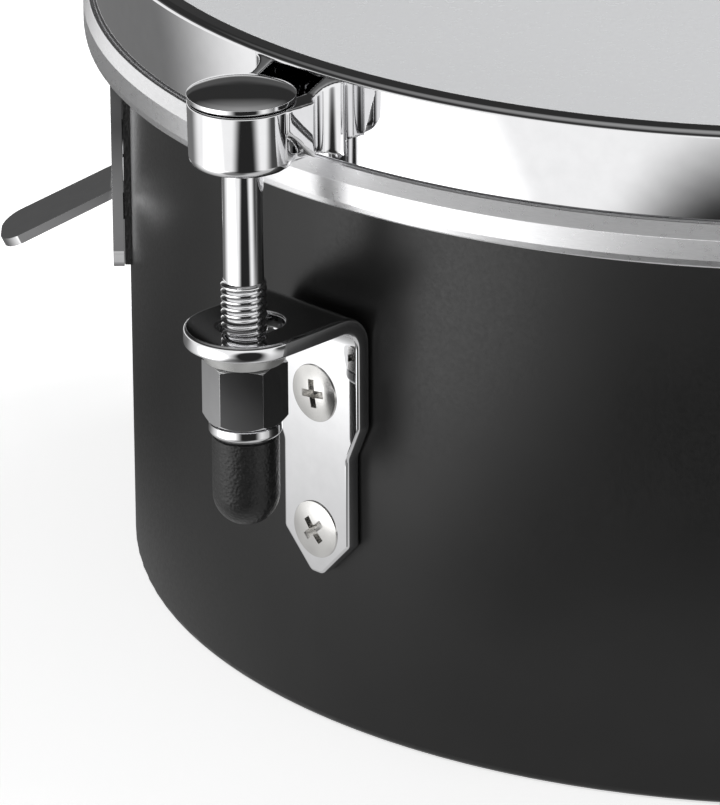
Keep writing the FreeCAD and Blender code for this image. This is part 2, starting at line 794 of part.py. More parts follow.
def make_damper_frame():
    """Steel channel inside the shell: a back that follows the wall and two cheeks for the pivot pin."""
    body = new_body("damper_frame", "damper_angle")
    inner_wall = "shell_radius - shell_wall - 0.05"
    back = polygon_on(
        body, "YZ_Plane", box_of("-cheek_half", "cheek_half", "plate_low", "plate_high"), lift="frame_face",
    )
    pad(body, back, f"{inner_wall} - frame_face")
    for sign in ("", "-"):
        inside = f"{sign}(cheek_half - cheek_sheet)"
        cheek = polygon_on(
            body, "XY_Plane",
            box_of("cheek_end", "frame_face", inside, f"{sign}cheek_half"),
            lift="cheek_low",
        )
        pad(body, cheek, "cheek_high - cheek_low")
    keep = new_sketch(body, "XY_Plane")
    draw_circle(keep, "0", "0", inner_wall)
    draw_circle(keep, "0", "0", "shell_radius + 5")
    cut(body, keep, along_normal=True)
    window = polygon_on(
        body, "YZ_Plane", box_of("-window_half + 0.1", "window_half - 0.1", "window_low", "window_high"),
        lift="frame_face - 0.01",
    )
    cut(body, window, along_normal=True)
    for height in ("damper_screw_low", "damper_screw_high"):
        cut(body, circle_on(body, "YZ_Plane", "0", height, "damper_screw_radius + 0.15"), along_normal=True)
    pin_hole = circle_on(body, "XZ_Plane", "pivot_out", "pivot_up", "pivot_radius")
    cut(body, pin_hole, both_ways=True)


def make_damper_nuts():
    body = new_body("damper_nuts", "damper_angle")
    for height in ("damper_screw_low", "damper_screw_high"):
        ring = new_sketch(body, "YZ_Plane", lift="frame_face - damper_nut")
        draw_polygon(ring, hexagon("damper_nut_flats", "0", height))
        draw_circle(ring, "0", height, "damper_screw_radius")
        pad(body, ring, "damper_nut")


def make_damper_pin():
    """Headed pin along the body's own Y, riveted over at its other end."""
    body = new_body("damper_pin", "damper_angle")
    shank = circle_on(body, "XZ_Plane", "pivot_out", "pivot_up", "pivot_radius")
    pad(body, shank, "2 * cheek_half", both_ways=True)
    for lift in ("cheek_half", "-cheek_half - 1.2"):
        pad(body, circle_on(body, "XZ_Plane", "pivot_out", "pivot_up", "pivot_head", lift=lift), "1.2")


def slope_point(along, across):
    """A place on the lever's slope: a distance out from the pivot, and one square to the slope."""
    x = f"pivot_out + ({along}) * cos(lever_slope) + ({across}) * sin(lever_slope)"
    z = f"pivot_up - ({along}) * sin(lever_slope) + ({across}) * cos(lever_slope)"
    return x, z


def make_damper_lever():
    """Blade and hub in one piece, tapering to a round tip, bored for the pin."""
    body = new_body("damper_lever", "damper_angle")
    blade = polygon_on(body, "XZ_Plane", [
        slope_point("0", "-lever_sheet / 2"),
        slope_point("lever_length", "-lever_sheet / 2"),
        slope_point("lever_length", "lever_sheet / 2"),
        slope_point("0", "lever_sheet / 2"),
    ])
    pad(body, blade, "2 * lever_root_half", both_ways=True)
    tip = "pivot_out + lever_length * cos(lever_slope)"
    for sign in ("", "-"):
        taper = polygon_on(body, "XY_Plane", [
            ("pivot_out + 9", f"{sign}(lever_root_half + 0.01)"),
            (f"{tip} + 2", f"{sign}lever_tip_half"),
            (f"{tip} + 2", f"{sign}(lever_root_half + 1)"),
        ])
        cut(body, taper, along_normal=True)
    round_edges(body, "lever_corner", blade_tip)
    hub = circle_on(body, "XZ_Plane", "pivot_out", "pivot_up", "hub_radius")
    pad(body, hub, "2 * hub_half", both_ways=True)
    tab = polygon_on(body, "XZ_Plane", box_of("tab_end", "pivot_out", "tab_low", ARM_START))
    pad(body, tab, "2 * arm_half", both_ways=True)
    cut(body, circle_on(body, "XY_Plane", TAB_RIVET, "0", "rivet_radius", lift="tab_low - 1"),
        f"{ARM_START} - tab_low + 2", along_normal=True)
    cut(body, circle_on(body, "XZ_Plane", "pivot_out", "pivot_up", "hub_bore"), both_ways=True)


def blade_tip(edge):
    """Tests for the two short edges at the corners of the blade's tip."""
    box = edge.BoundBox
    far = box.XMin > value("pivot_out + lever_length * cos(lever_slope) - lever_sheet")
    return far and box.YLength < 0.3 and 1 < box.ZLength < 4


def make_damper_arm():
    """Spring steel strip from the hub up to the pad, bent from side view corners."""
    body = new_body("damper_arm", "damper_angle")
    strip = polygon_on(body, "XZ_Plane", [
        ("pivot_out", ARM_START),
        ("pivot_out", f"{ARM_START} + arm_sheet"),
        ("arm_out + arm_sheet", f"{ARM_START} + arm_sheet"),
        ("arm_out + arm_sheet", "arm_top - 5"),
        ("arm_knee", "arm_top + arm_sheet"),
        ("arm_reach", "arm_top + arm_sheet"),
        ("arm_reach", "arm_top"),
        ("arm_knee - 0.6", "arm_top"),
        ("arm_out", "arm_top - 5.6"),
        ("arm_out", ARM_START),
    ])
    pad(body, strip, "2 * arm_half", both_ways=True)
    cut(body, circle_on(body, "XY_Plane", TAB_RIVET, "0", "rivet_radius", lift=f"{ARM_START} - 1"),
        "arm_sheet + 2", along_normal=True)
    for place in PAD_RIVETS:
        cut(body, circle_on(body, "XY_Plane", place, "0", "rivet_radius", lift="arm_top - 1"),
            "arm_sheet + 2", along_normal=True)


def make_damper_rivets():
    """One rivet that joins the strip to the lever's tab, and two that hold the pad's underside."""
    body = new_body("damper_rivets", "damper_angle")
    pad(body, circle_on(body, "XY_Plane", TAB_RIVET, "0", "rivet_radius", lift="tab_low"),
        f"{ARM_START} + arm_sheet - tab_low")
    for low in ("tab_low - 0.8", f"{ARM_START} + arm_sheet"):
        pad(body, circle_on(body, "XY_Plane", TAB_RIVET, "0", "rivet_head", lift=low), "0.8")
    for place in PAD_RIVETS:
        head = circle_on(body, "XY_Plane", place, "0", "rivet_head", lift="arm_top - 1")
        pad(body, head, "1")
        shank = circle_on(body, "XY_Plane", place, "0", "rivet_radius", lift="arm_top")
        pad(body, shank, "arm_sheet + 2")


def make_damper_pad():
    body = new_body("damper_pad", "damper_angle")
    outline = box_of("pad_inner", "pad_outer", "-pad_half", "pad_half")
    pad_low = "arm_top + arm_sheet"
    pad(body, polygon_on(body, "XY_Plane", outline, lift=pad_low), f"pad_top - ({pad_low})")
    round_edges(body, "4", lambda edge: edge.BoundBox.ZLength > 2 and edge.BoundBox.XLength < 1e-3)
    for place in PAD_RIVETS:
        cut(body, circle_on(body, "XY_Plane", place, "0", "rivet_radius", lift=pad_low), "2",
            along_normal=True)


def make_mount_bracket():
    """Cast clamp for a round rod: base on the shell, boss with an upright bore, neck for the clamp."""
    body = new_body("mount_bracket")
    base = polygon_on(
        body, "YZ_Plane", box_of("-mount_half", "mount_half", "mount_low", "mount_high"),
        lift="shell_radius - 3",
    )
    pad(body, base, "mount_base - shell_radius + 3")
    round_edges(body, "mount_corner", mount_corner)
    outside = new_sketch(body, "XY_Plane")
    draw_circle(outside, "0", "0", "mount_base")
    draw_circle(outside, "0", "0", "mount_base + 5")
    cut(body, outside, along_normal=True)
    boss = polygon_on(
        body, "XY_Plane", box_of("mount_base - 2", BOSS_END, "-boss_half", "boss_half"), lift="boss_low",
    )
    pad(body, boss, "boss_high - boss_low")
    round_edges(body, "mount_corner", boss_corner)
    neck = circle_on(body, "XZ_Plane", "rod_place", "clamp_height", "neck_radius", lift="-neck_end")
    pad(body, neck, "neck_end")
    seat = polygon_on(body, "XZ_Plane", box_of("0", "shell_radius", "mount_low - 5", "mount_high + 5"))
    spin_solid(body, seat, "Groove")
    cut(body, circle_on(body, "XY_Plane", "rod_place", "0", "rod_bore"), along_normal=True)
    channel = circle_on(body, "XZ_Plane", "rod_place", "clamp_height", "shoe_channel")
    cut(body, channel, "shoe_channel_end")
    thread = circle_on(body, "XZ_Plane", "rod_place", "clamp_height", "clamp_bore")
    cut(body, thread, "neck_end + 5")
    for turn, height in mount_hole_places():
        cut(body, circle_on(body, "YZ_Plane", "0", height, "screw_hole", turn=turn), along_normal=True)


def mount_hole_places():
    """Turn and height of the four screws: each points at the drum axis."""
    return [
        (turn, height)
        for turn in ("-mount_screw_turn", "mount_screw_turn")
        for height in ("mount_screw_low", "mount_screw_low + mount_screw_pitch")
    ]


def mount_corner(edge):
    box = edge.BoundBox
    along_x = box.YLength < 1e-3 and box.ZLength < 1e-3 and box.XLength > 1
    return along_x and abs(abs(box.YMin) - value("mount_half")) < 1e-3


def boss_corner(edge):
    box = edge.BoundBox
    upright = box.XLength < 1e-3 and box.YLength < 1e-3
    return upright and abs(box.XMin - value(BOSS_END)) < 1e-3


def make_mount_screws():
    body = new_body("mount_screws")
    for turn, height in mount_hole_places():
        add_screw(body, "mount_base", "screw_end", height, turn=turn)


def make_mount_nuts():
    body = new_body("mount_nuts")
    nut_end = "flat_washer_seat - flat_washer - screw_nut"
    for turn, height in mount_hole_places():
        ring = new_sketch(body, "YZ_Plane", lift=nut_end, turn=turn)
        draw_polygon(ring, hexagon("screw_nut_flats", "0", height))
        draw_circle(ring, "0", height, "screw_radius")
        pad(body, ring, "screw_nut")


def make_mount_washers():
    body = new_body("mount_washers")
    for turn, height in mount_hole_places():
        ring = new_sketch(body, "YZ_Plane", lift="flat_washer_seat - flat_washer", turn=turn)
        draw_circle(ring, "0", height, "flat_washer_radius")
        draw_circle(ring, "0", height, "screw_hole")
        pad(body, ring, "flat_washer")


def make_clamp_shoe():
    """Round pad that slides in the neck and grips the rod."""
    body = new_body("clamp_shoe")
    outline = circle_on(body, "XZ_Plane", "rod_place", "clamp_height", "shoe_radius",
                        lift="-shoe_face - shoe_length")
    pad(body, outline, "shoe_length")


def make_clamp_wing_bolt():
    """Screw along Y with a hub and two wings."""
    body = new_body("clamp_wing_bolt")
    tip = "shoe_face + shoe_length + 0.02"
    screw = circle_on(body, "XZ_Plane", "rod_place", "clamp_height", "clamp_thread", lift="-clamp_head_start")
    pad(body, screw, f"clamp_head_start - ({tip})")
    hub = circle_on(body, "XZ_Plane", "rod_place", "clamp_height", "clamp_hub",
                    lift="-clamp_head_start - clamp_hub_length")
    pad(body, hub, "clamp_hub_length")
    wings = polygon_on(body, "YZ_Plane", [
        ("clamp_head_start + 0.4", "clamp_height - 4"),
        ("wing_tip - 5", "clamp_height - wing_reach"),
        ("wing_tip", "clamp_height - wing_reach + 2"),
        ("clamp_head_start + clamp_hub_length - 0.4", "clamp_height"),
        ("wing_tip", "clamp_height + wing_reach - 2"),
        ("wing_tip - 5", "clamp_height + wing_reach"),
        ("clamp_head_start + 0.4", "clamp_height + 4"),
    ], lift="rod_place - wing_half")
    pad(body, wings, "2 * wing_half")


make_shell()
make_rim()
make_flesh_hoop()
make_head_film()
make_head_collar()
for lug in range(SIZES["lug_count"]):
    lug_turn = f"lug_angle + {90 * lug}"
    number = lug + 1
    make_ear(f"hoop_ear_{number}", lug_turn)
    make_tension_bolt(f"tension_bolt_{number}", lug_turn)
    make_tension_nut(f"tension_nut_{number}", lug_turn)
    make_nut_cap(f"nut_cap_{number}", lug_turn)
    make_lug_bracket(f"lug_bracket_{number}", lug_turn)
make_thrust_washers()
make_bracket_screws()
make_bracket_washers()
make_bracket_nuts()
make_damper_plate()
make_damper_screws()
make_damper_frame()
make_damper_nuts()
make_damper_pin()
make_damper_lever()
make_damper_arm()
make_damper_rivets()
make_damper_pad()
make_mount_bracket()
make_mount_screws()
make_mount_washers()
make_mount_nuts()
make_clamp_shoe()
make_clamp_wing_bolt()
doc.recompute()

for item in doc.Objects:
    if "Invalid" in item.State or "Error" in item.State:
        raise RuntimeError(f"{item.Label} did not compute: {item.State}")

sub_parts = [item for item in doc.Objects if item.isDerivedFrom("PartDesign::Body")]
sub_parts += [item for item in doc.Objects if item.TypeId == "Part::Cut"]
os.makedirs("parts", exist_ok=True)
for item in sub_parts:
    if item.Shape.isNull() or not item.Shape.isValid():
        raise RuntimeError(f"{item.Label} has no valid shape")
for item in sub_parts:
    item.Shape.exportStep(f"parts/{item.Label}.step")
    print(item.Label, len(item.Shape.Solids), round(item.Shape.Volume))
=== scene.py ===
import json
import math

import bmesh
import bpy
from mathutils import Matrix, Vector, noise

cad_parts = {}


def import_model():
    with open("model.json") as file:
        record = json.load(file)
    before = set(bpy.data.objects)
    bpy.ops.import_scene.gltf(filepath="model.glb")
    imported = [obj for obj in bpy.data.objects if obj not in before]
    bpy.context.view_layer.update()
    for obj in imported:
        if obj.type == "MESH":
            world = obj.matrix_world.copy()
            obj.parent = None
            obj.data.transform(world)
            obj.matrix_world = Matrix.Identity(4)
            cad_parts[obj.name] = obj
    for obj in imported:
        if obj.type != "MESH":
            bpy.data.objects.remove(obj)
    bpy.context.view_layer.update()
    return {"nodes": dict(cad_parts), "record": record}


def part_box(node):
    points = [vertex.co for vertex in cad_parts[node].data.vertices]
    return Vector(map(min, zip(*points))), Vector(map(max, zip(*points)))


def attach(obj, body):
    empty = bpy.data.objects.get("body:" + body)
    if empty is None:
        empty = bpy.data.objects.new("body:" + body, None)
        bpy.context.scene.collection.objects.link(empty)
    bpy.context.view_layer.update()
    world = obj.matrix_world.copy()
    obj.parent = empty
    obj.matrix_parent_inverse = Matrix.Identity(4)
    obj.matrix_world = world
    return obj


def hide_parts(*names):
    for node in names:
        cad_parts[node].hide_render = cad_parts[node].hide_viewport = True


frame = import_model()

# Sizes are in millimetres unless a name says otherwise.
MM = 0.001
LUG_TURNS = {1: 45, 2: 135, 3: 225, 4: 315}
BOLT_CIRCLE = 145.0
ROUND = 192


def reach(node):
    """Lowest and highest z of a CAD node, in millimetres."""
    low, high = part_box(node)
    return low.z / MM, high.z / MM


# ---------------------------------------------------------------- materials


class Look:
    """A procedural material: one Principled shader and the nodes that feed it."""

    def __init__(self, name, metallic=0.0, roughness=0.5, color=(0.8, 0.8, 0.8), **constants):
        self.material = bpy.data.materials.new(name)
        self.material.use_nodes = True
        self.tree = self.material.node_tree
        self.shader = self.tree.nodes["Principled BSDF"]
        self.shader.inputs["Metallic"].default_value = metallic
        self.shader.inputs["Roughness"].default_value = roughness
        self.shader.inputs["Base Color"].default_value = (*color, 1)
        for socket, value in constants.items():
            self.shader.inputs[socket.replace("_", " ")].default_value = value

    def node(self, kind, **settings):
        node = self.tree.nodes.new(kind)
        for key, value in settings.items():
            setattr(node, key, value)
        return node

    def link(self, source, target):
        self.tree.links.new(source, target)

    def place(self, scale=(1, 1, 1)):
        """Object space, stretched by scale."""
        coordinate = self.node("ShaderNodeTexCoord")
        mapping = self.node("ShaderNodeMapping")
        mapping.inputs["Scale"].default_value = scale
        self.link(coordinate.outputs["Object"], mapping.inputs["Vector"])
        return mapping.outputs["Vector"]

    def noise(self, vector, scale, detail=3.0, rough=0.5):
        node = self.node("ShaderNodeTexNoise")
        node.inputs["Scale"].default_value = scale
        node.inputs["Detail"].default_value = detail
        node.inputs["Roughness"].default_value = rough
        self.link(vector, node.inputs["Vector"])
        return node.outputs["Fac"]

    def cells(self, vector, scale):
        node = self.node("ShaderNodeTexVoronoi", feature="SMOOTH_F1")
        node.inputs["Scale"].default_value = scale
        self.link(vector, node.inputs["Vector"])
        return node.outputs["Distance"]

    def spread(self, value, low, high, start=0.3, end=0.7):
        """Maps start..end of a value onto low..high."""
        node = self.node("ShaderNodeMapRange")
        for socket, number in (("From Min", start), ("From Max", end), ("To Min", low), ("To Max", high)):
            node.inputs[socket].default_value = number
        self.link(value, node.inputs["Value"])
        return node.outputs["Result"]

    def tint(self, value, first, second, start=0.3, end=0.7):
        """Base colour that runs between two colours."""
        ramp = self.node("ShaderNodeValToRGB")
        ramp.color_ramp.elements[0].position = start
        ramp.color_ramp.elements[0].color = (*first, 1)
        ramp.color_ramp.elements[1].position = end
        ramp.color_ramp.elements[1].color = (*second, 1)
        self.link(value, ramp.inputs["Fac"])
        self.link(ramp.outputs["Color"], self.shader.inputs["Base Color"])

    def roughness(self, value, low, high):
        self.link(self.spread(value, low, high), self.shader.inputs["Roughness"])

    def bump(self, value, depth_mm, strength=1.0):
        node = self.node("ShaderNodeBump")
        node.inputs["Strength"].default_value = strength
        node.inputs["Distance"].default_value = depth_mm * MM
        self.link(value, node.inputs["Height"])
        self.link(node.outputs["Normal"], self.shader.inputs["Normal"])


def chrome(name, color=(0.86, 0.86, 0.87), smooth=0.015, worn=0.035):
    """Polished plating: slight clouds in its gloss and a faint unevenness."""
    look = Look(name, metallic=1.0, roughness=smooth, color=color)
    where = look.place()
    clouds = look.noise(where, 90, 4)
    look.roughness(clouds, smooth, worn)
    dark = tuple(0.96 * c for c in color)
    look.tint(look.noise(where, 320, 2), dark, color)
    look.bump(look.noise(where, 150, 1), 0.004)
    return look.material


def powder_coat():
    """Satin black coat with a fine grain."""
    look = Look("shell_coat", roughness=0.4, color=(0.03, 0.03, 0.03))
    where = look.place()
    look.tint(look.noise(where, 60, 3), (0.006, 0.006, 0.0058), (0.009, 0.0088, 0.0085))
    look.roughness(look.noise(where, 1400, 2), 0.3, 0.37)
    look.bump(look.noise(where, 2600, 2), 0.006, 0.6)
    return look.material


def satin_aluminium():
    """Rolled section, brushed around."""
    look = Look("hoop_aluminium", metallic=1.0, roughness=0.3, color=(0.83, 0.83, 0.84))
    around = look.noise(look.place((1, 1, 14)), 600, 3, 0.5)
    look.tint(around, (0.86, 0.86, 0.87), (0.93, 0.93, 0.94))
    look.roughness(look.noise(look.place(), 900, 2), 0.27, 0.31)
    look.bump(look.noise(look.place((1, 1, 3)), 1800, 1), 0.002, 0.3)
    return look.material


def film():
    look = Look("head_film", roughness=0.24, color=(0.7, 0.71, 0.72))
    where = look.place()
    look.tint(look.noise(where, 14, 2), (0.86, 0.87, 0.885), (0.88, 0.89, 0.905))
    look.roughness(look.noise(where, 700, 3), 0.24, 0.28)
    look.bump(look.noise(where, 4000, 1), 0.001, 0.3)
    return look.material


def rubber():
    look = Look("cap_rubber", roughness=0.5, color=(0.02, 0.02, 0.02))
    where = look.place()
    look.tint(look.noise(where, 500, 3), (0.003, 0.003, 0.003), (0.007, 0.007, 0.007))
    look.roughness(look.noise(where, 1200, 2), 0.3, 0.4)
    look.bump(look.cells(where, 1900), 0.12, 0.8)
    return look.material


def plated(name, color, low, high, grain=500):
    """Zinc, nickel or steel: soft gloss with a crystalline mottle."""
    look = Look(name, metallic=1.0, roughness=low, color=color)
    where = look.place()
    mottle = look.cells(where, grain)
    look.tint(mottle, tuple(0.86 * c for c in color), color, 0.1, 0.8)
    look.roughness(look.noise(where, 300, 4), low, high)
    look.bump(look.noise(where, 1200, 3), 0.006, 0.5)
    return look.material


def wool_felt():
    look = Look("felt", roughness=0.95, color=(0.75, 0.74, 0.7), Sheen_Weight=0.5)
    where = look.place()
    fibres = look.noise(where, 1500, 6, 0.75)
    look.tint(fibres, (0.55, 0.54, 0.5), (0.82, 0.81, 0.77))
    look.bump(fibres, 0.3, 0.8)
    return look.material


MATERIALS = {
    "shell_coat": powder_coat(),
    "rim_chrome": chrome("rim_chrome"),
    "hoop_aluminium": satin_aluminium(),
    "head_film": film(),
    "screw_nickel": plated("screw_nickel", (0.86, 0.85, 0.83), 0.16, 0.26, 260),
    "zinc": plated("zinc", (0.68, 0.68, 0.67), 0.25, 0.42),
    "chrome": chrome("chrome"),
    "cap_rubber": rubber(),
    "spring_steel": plated("spring_steel", (0.5, 0.5, 0.5), 0.22, 0.36, 700),
    "felt": wool_felt(),
}
SLOTS = {part["node"]: part["material_slot"] for part in frame["record"]["subparts"]}
BODIES = {node: body for body, nodes in frame["record"]["behaviour"]["bodies"].items() for node in nodes}


# ------------------------------------------------------------------- meshes


def rounded(corners, closed=True, steps=5, lead=0.05):
    """Outline through corners (x, y) or (x, y, radius).

    Each fillet has a short straight lead at both ends, which keeps the flats beside it flat.
    """
    points = []
    for index, corner in enumerate(corners):
        here = Vector(corner[:2])
        if len(corner) < 3 or (not closed and index in (0, len(corners) - 1)):
            points.append(here)
            continue
        before = (Vector(corners[index - 1][:2]) - here).normalized()
        after = (Vector(corners[(index + 1) % len(corners)][:2]) - here).normalized()
        half = before.angle(after) / 2
        reach_out = corner[2] / math.tan(half)
        centre = here + (before + after).normalized() * corner[2] / math.sin(half)
        first = here + before * reach_out - centre
        last = here + after * reach_out - centre
        points.append(here + before * (reach_out + lead))
        for step in range(steps + 1):
            points.append(centre + first.slerp(last, step / steps).normalized() * corner[2])
        points.append(here + after * (reach_out + lead))
    return points


def spot(radius, angle, height=0.0):
    """A place on a circle about Z, in metres, from millimetres and radians."""
    return radius * MM * math.cos(angle), radius * MM * math.sin(angle), height * MM


def finished(work):
    bmesh.ops.recalc_face_normals(work, faces=work.faces)
    mesh = bpy.data.meshes.new("piece")
    work.to_mesh(mesh)
    work.free()
    return mesh


def lathe(profile, closed=True, steps=ROUND):
    """Turns a profile of (radius, height) about Z."""
    work = bmesh.new()
    rings = []
    for radius, height in profile:
        angles = [math.tau * step / steps for step in range(steps)] if radius > 1e-6 else [0]
        rings.append([work.verts.new(spot(radius, angle, height)) for angle in angles])
    following = rings[1:] + rings[:1] if closed else rings[1:]
    for low, high in zip(rings, following):
        for step in range(steps):
            ahead = (step + 1) % steps
            if len(low) == len(high) == 1:
                break
            if len(low) == 1:
                work.faces.new((low[0], high[ahead], high[step]))
            elif len(high) == 1:
                work.faces.new((low[step], low[ahead], high[0]))
            else:
                work.faces.new((low[step], low[ahead], high[ahead], high[step]))
    return finished(work)


def thread(radius, depth, pitch, low, high, plain, columns=48):
    """Right-hand helical thread as one skin, which runs out to a plain shank at its upper end."""
    rows = 8
    crest_start, crest_rise, run_out = 0.15, 0.5, 0.7
    work = bmesh.new()
    grid = []
    for column in range(columns):
        angle = math.tau * column / columns
        line = []
        for row in range((math.ceil((high - low) / pitch) + 2) * rows + 1):
            height = low + (row / rows - 1 + column / columns) * pitch
            wave = 1 - abs(2 * (row / rows % 1) - 1)
            crest = min(max((wave - crest_start) / crest_rise, 0), 1)
            out = radius - depth * (1 - crest)
            out = plain + (out - plain) * min(max((high - height) / (run_out * pitch), 0), 1)
            height = min(max(height, low), high)
            line.append(work.verts.new(spot(out, angle, height)))
        grid.append(line)
    for column in range(columns):
        ahead, shift = ((column + 1), 0) if column < columns - 1 else (0, rows)
        for row in range(len(grid[0]) - 1 - rows):
            near, far = grid[column], grid[ahead]
            work.faces.new((near[row], far[row + shift], far[row + 1 + shift], near[row + 1]))
    bmesh.ops.remove_doubles(work, verts=work.verts, dist=0.001 * MM)
    bmesh.ops.delete(work, geom=[v for v in work.verts if not v.link_faces], context="VERTS")
    bmesh.ops.holes_fill(work, edges=[e for e in work.edges if e.is_boundary])
    return finished(work)


def widened(outline, distance):
    """The outline moved outwards (anticlockwise outlines) by a distance."""
    moved = []
    for index, here in enumerate(outline):
        before = (here - outline[index - 1]).normalized()
        after = (outline[(index + 1) % len(outline)] - here).normalized()
        out = Vector((before.y, -before.x)) + Vector((after.y, -after.x))
        out.normalize()
        stretch = max(out.dot(Vector((before.y, -before.x))), 0.5)
        moved.append(here + out * distance / stretch)
    return moved


def sliced(work, *places):
    """Cuts all faces along planes across X, at places in millimetres."""
    for place in places:
        everything = list(work.verts) + list(work.edges) + list(work.faces)
        bmesh.ops.bisect_plane(
            work, geom=everything, plane_co=(place * MM, 0, 0), plane_no=(1, 0, 0), dist=1e-7,
        )


def plate(outline, holes, thickness, edge, bends=()):
    """Flat sheet in XY, centred on z = 0, with rounded edges, and cut finer at the x places in bends."""
    work = bmesh.new()
    steps, lead = 4, 0.05
    levels = [(-edge - lead, thickness / 2)]
    for step in range(steps + 1):
        turn = math.pi / 2 * step / steps
        levels.append((-edge * (1 - math.sin(turn)), thickness / 2 - edge * (1 - math.cos(turn))))
    levels += [(inset, -height) for inset, height in reversed(levels)]
    caps = {0: [], len(levels) - 1: []}
    for loop, sign in [(outline, 1)] + [(hole, -1) for hole in holes]:
        rings = [
            [work.verts.new((p.x * MM, p.y * MM, height * MM)) for p in widened(loop, sign * inset)]
            for inset, height in levels
        ]
        for upper, lower in zip(rings, rings[1:]):
            for index in range(len(loop)):
                ahead = (index + 1) % len(loop)
                work.faces.new((upper[index], upper[ahead], lower[ahead], lower[index]))
        for level in caps:
            ring = rings[level]
            caps[level] += [work.edges.get(pair) for pair in zip(ring, ring[1:] + ring[:1])]
    for edges in caps.values():
        bmesh.ops.triangle_fill(work, edges=edges, use_beauty=True)
    sliced(work, *bends)
    return finished(work)


def evaluated(mesh, *modifiers):
    """The mesh after modifiers, each a kind with its settings."""
    work = bpy.data.objects.new("work", mesh)
    bpy.context.scene.collection.objects.link(work)
    for kind, settings in modifiers:
        modifier = work.modifiers.new(kind, kind)
        for key, value in settings.items():
            setattr(modifier, key, value)
    result = bpy.data.meshes.new_from_object(work.evaluated_get(bpy.context.evaluated_depsgraph_get()))
    bpy.data.objects.remove(work)
    return result


def combined(mesh, other, operation):
    """Boolean of two closed meshes: DIFFERENCE, INTERSECT or UNION."""
    tool = bpy.data.objects.new("tool", other)
    bpy.context.scene.collection.objects.link(tool)
    result = evaluated(mesh, ("BOOLEAN", {"operation": operation, "solver": "EXACT", "object": tool}))
    bpy.data.objects.remove(tool)
    return result


def block(low, high):
    """Upright box between two corners."""
    work = bmesh.new()
    bmesh.ops.create_cube(work, size=1.0)
    for vertex in work.verts:
        vertex.co = Vector([(a if c < 0 else b) * MM for c, a, b in zip(vertex.co, low, high)])
    return finished(work)


def placed(mesh, matrix):
    """A copy of the mesh, moved."""
    copy = mesh.copy()
    copy.transform(matrix)
    return copy


def joined(*meshes):
    work = bmesh.new()
    for mesh in meshes:
        work.from_mesh(mesh)
    mesh = bpy.data.meshes.new("joined")
    work.to_mesh(mesh)
    work.free()
    return mesh


def about_z(turn):
    return Matrix.Rotation(math.radians(turn), 4, "Z")


def shifted(x=0.0, y=0.0, z=0.0):
    return Matrix.Translation(Vector((x, y, z)) * MM)


def facing_out(turn, out, up, side=0.0):
    """Places a piece built along +Z so that it points away from the drum's axis."""
    stand = Matrix(((0, 0, 1, 0), (1, 0, 0, 0), (0, 1, 0, 0), (0, 0, 0, 1)))
    return about_z(turn) @ shifted(out, side, up) @ stand


def show(name, mesh, *nodes, crease=32, even=False):
    """Puts a finished mesh in the scene in place of CAD nodes, on their body and with their finish."""
    piece = bpy.data.objects.new(name, mesh)
    bpy.context.scene.collection.objects.link(piece)
    mesh.materials.clear()
    mesh.materials.append(MATERIALS[SLOTS[nodes[0]]])
    mesh.shade_smooth()
    mesh.set_sharp_from_angle(angle=math.radians(crease))
    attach(piece, BODIES[nodes[0]])
    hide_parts(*nodes)
    if even:
        weigh = piece.modifiers.new("even_shading", "WEIGHTED_NORMAL")
        weigh.keep_sharp = True
        weigh.weight = 90
    return piece


def at_each_lug(kind, mesh, crease=32, even=False):
    """One copy at each lug of a piece built on the X axis."""
    for number, turn in LUG_TURNS.items():
        node = f"{kind}_{number}"
        show(f"{node}_look", placed(mesh, about_z(turn)), node, crease=crease, even=even)


def merged(node):
    """A CAD node's mesh with one vertex at each place and flat faces in one piece."""
    work = bmesh.new()
    work.from_mesh(frame["nodes"][node].data)
    bmesh.ops.remove_doubles(work, verts=work.verts, dist=0.002 * MM)
    bmesh.ops.dissolve_limit(
        work, angle_limit=math.radians(0.6), verts=work.verts, edges=work.edges,
        use_dissolve_boundaries=False,
    )
    return work


def softened(node, width, angle=28, segments=3, reshape=None):
    """The CAD solid again, with its sharp edges rounded."""
    work = merged(node)
    if reshape:
        reshape(work)
    sharp = [e for e in work.edges if e.is_manifold and e.calc_face_angle(0) > math.radians(angle)]
    bmesh.ops.bevel(
        work, geom=sharp, offset=width * MM, offset_type="OFFSET", segments=segments, profile=0.5,
        affect="EDGES", clamp_overlap=True,
    )
    mesh = bpy.data.meshes.new(node)
    work.to_mesh(mesh)
    work.free()
    return show(f"{node}_look", mesh, node, even=True)


# -------------------------------------------------------------- hoop and head

RIM_WALL = 3.8
HOOP_WALL = 6.5
HOOP_BAND = 2.9
FILM_TOP = 122.3
FILM_SKIN = 0.3
FILM_RADIUS = 126.2
FILM_CORNER = 2.2
FILM_RING = 12.0
HEM_HEIGHT = 107.0
HEM_RADIUS = 128.0


def outer(node):
    """Largest x of a round CAD node, in millimetres."""
    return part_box(node)[1].x / MM


def make_rim():
    low, high = reach("rim")
    radius = outer("rim")
    inside = radius - RIM_WALL
    show("rim_look", lathe(rounded([
        (inside, low, 0.2), (radius, low, 0.3), (radius, high, 1.1), (inside, high, 0.35),
    ])), "rim")


def make_flesh_hoop():
    low, high = reach("flesh_hoop")
    radius = outer("flesh_hoop")
    inside = radius - HOOP_WALL
    show("flesh_hoop_look", lathe(rounded([
        (inside, low, 0.3), (radius - 0.25, low, 0.5), (radius, low + 1.4, 0.8),
        (radius, high - HOOP_BAND, 0.5),
        (radius - 0.8, high, 0.3), (inside, high, 0.3),
    ])), "flesh_hoop")


